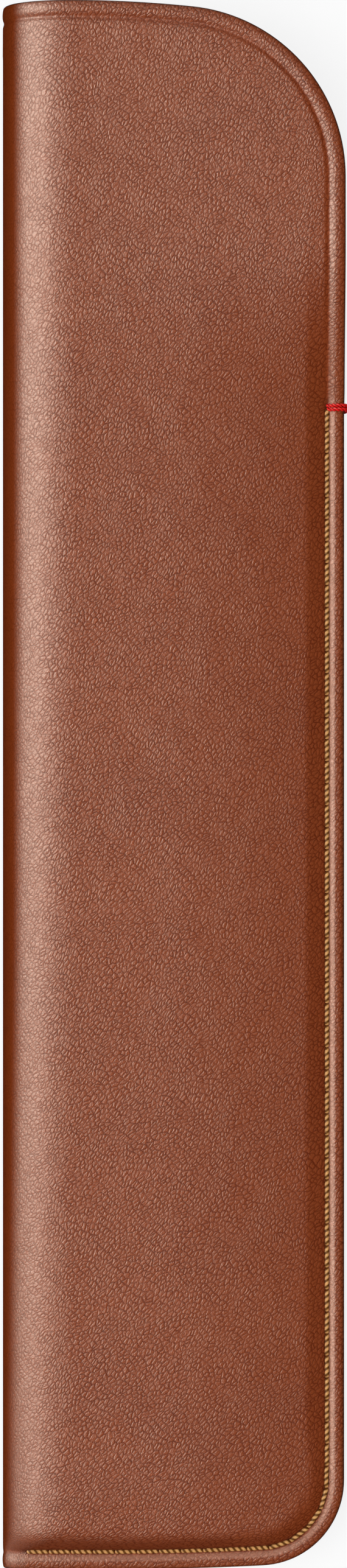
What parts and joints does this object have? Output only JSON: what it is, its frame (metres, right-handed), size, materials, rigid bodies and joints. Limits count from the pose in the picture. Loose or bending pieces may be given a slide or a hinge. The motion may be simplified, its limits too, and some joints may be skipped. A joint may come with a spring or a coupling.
{
  "type": "single pen sleeve",
  "caption": "Folded leather sleeve for one pen, sewn along one side and the bottom, open at the top, with a bar tack where the seam ends and a free front corner that bends open.",
  "frame": {"origin": "centre of the sleeve's box on the surface it lies on, under its back wall", "axes": "+X from the fold to the sewn edge, +Y towards the mouth, +Z out of the front wall"},
  "size_m": [0.0374, 0.17, 0.015],
  "materials": {
    "leather": "pebbled, semi-gloss, with dark painted edges",
    "lining": "matt suede",
    "board": "bonded fibre, matt",
    "seam_thread": "twisted, waxed",
    "tack_thread": "twisted, waxed"
  },
  "bodies": {
    "sleeve": {"outer_leather": "leather", "lining": "lining", "front_stiffener": "board", "back_stiffener": "board", "needle_thread": "seam_thread", "bobbin_thread": "seam_thread", "bar_tack": "tack_thread"},
    "front_lip": {"front_lip_leather": "leather", "front_lip_lining": "lining"}
  },
  "joints": [
    {"name": "front_lip_bend", "type": "hinge", "parent": "sleeve", "child": "front_lip", "pos_m": [0.00404, 0.06375, 0.015], "axis": [0.557, -0.8305, 0], "range_deg": [0, 45], "stiffness_Nm_per_rad": 0.01}
  ]
}
